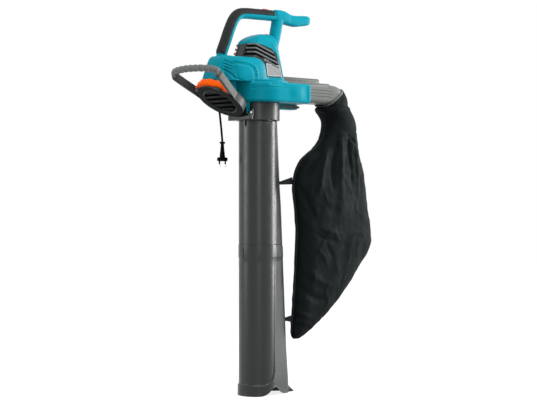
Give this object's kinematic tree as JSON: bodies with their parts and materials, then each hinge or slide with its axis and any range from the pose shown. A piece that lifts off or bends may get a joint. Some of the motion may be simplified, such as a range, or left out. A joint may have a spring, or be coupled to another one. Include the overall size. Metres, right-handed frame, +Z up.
{
  "type": "leaf blower vacuum",
  "caption": "Hand-held electric leaf blower vacuum with a long suction tube, side outlet duct, cloth collection bag, swivelling front handle and loop main handle.",
  "frame": {"origin": "middle of the main grip, under the power switch", "axes": "+Z up along the fan axis, with the suction tube hanging straight down; +X from the front handle towards the collection bag; the outlet duct lies on the -Y side"},
  "size_m": [0.7196, 0.2308, 1.2177],
  "materials": {
    "teal_housing": "satin moulded plastic, fine grain",
    "dark_grey_tube": "semi-gloss moulded plastic",
    "mid_grey_moulding": "satin moulded plastic",
    "black_plastic": "matte moulded plastic",
    "grip_rubber": "soft rubber with fine dots",
    "orange_plastic": "satin moulded plastic",
    "red_switch": "semi-gloss moulded plastic",
    "bright_steel": "bright turned steel",
    "copper_winding": "bare copper",
    "laminated_iron": "stacked sheet iron",
    "black_polyester": "woven polyester with soft folds"
  },
  "bodies": {
    "machine": {"fan_housing": "teal_housing", "motor_bulkhead": "mid_grey_moulding", "lower_bearing": "bright_steel", "upper_bearing": "bright_steel", "stator": "laminated_iron", "brush_bridge": "black_plastic", "brush_left": "laminated_iron", "brush_right": "laminated_iron", "housing_left": "teal_housing", "housing_right": "teal_housing", "vent_cover": "black_plastic", "main_grip": "grip_rubber", "switch_module": "black_plastic", "hub_core": "mid_grey_moulding", "hub_cover": "black_plastic", "upper_tube": "dark_grey_tube", "lower_tube": "dark_grey_tube", "tube_collar": "dark_grey_tube", "hook_pin_left": "bright_steel", "hook_pin_right": "bright_steel", "latch_pin": "bright_steel", "outlet_duct": "mid_grey_moulding", "outlet_mid_lane": "mid_grey_moulding", "outlet_far_lane": "mid_grey_moulding", "bag_ring": "black_plastic", "collection_bag": "black_polyester", "bag_hook_upper": "bright_steel", "bag_hook_lower": "bright_steel", "bag_strap_upper": "black_polyester", "bag_strap_lower": "black_polyester", "cord_gland": "black_plastic", "mains_cord": "black_plastic", "plug_body": "black_plastic", "plug_pin_left": "bright_steel", "plug_pin_right": "bright_steel"},
    "rotor": {"impeller": "black_plastic", "shredder_knife": "bright_steel", "impeller_nut": "bright_steel", "motor_shaft": "bright_steel", "armature": "laminated_iron", "commutator": "copper_winding", "cooling_fan": "black_plastic"},
    "front_handle": {"front_handle": "mid_grey_moulding"},
    "lock_ring": {"handle_lock_ring": "orange_plastic"},
    "switch": {"power_switch": "red_switch"},
    "dial": {"speed_dial": "orange_plastic"},
    "latch": {"tube_latch": "mid_grey_moulding"}
  },
  "joints": [
    {"name": "rotor_spin", "type": "hinge", "parent": "machine", "child": "rotor", "pos_m": [0.012, 0, -0.23], "axis": [0, 0, 1], "continuous": true},
    {"name": "front_handle_swivel", "type": "hinge", "parent": "machine", "child": "front_handle", "pos_m": [-0.14, 0, -0.283], "axis": [-0.5373, 0, -0.8434], "range_deg": [-45, 45]},
    {"name": "lock_ring_twist", "type": "hinge", "parent": "front_handle", "child": "lock_ring", "pos_m": [-0.14, 0, -0.283], "axis": [-0.5373, 0, -0.8434], "range_deg": [-8, 8]},
    {"name": "power_switch_slide", "type": "slide", "parent": "machine", "child": "switch", "axis": [1, 0, 0], "range_m": [0, 0.004]},
    {"name": "speed_dial_turn", "type": "hinge", "parent": "machine", "child": "dial", "pos_m": [0.0465, 0, -0.07], "axis": [0, 1, 0], "range_deg": [-135, 135]},
    {"name": "tube_latch_pull", "type": "slide", "parent": "machine", "child": "latch", "axis": [1, 0, 0], "range_m": [0, 0.005], "stiffness_N_per_m": 400, "springref_m": -0.002}
  ]
}
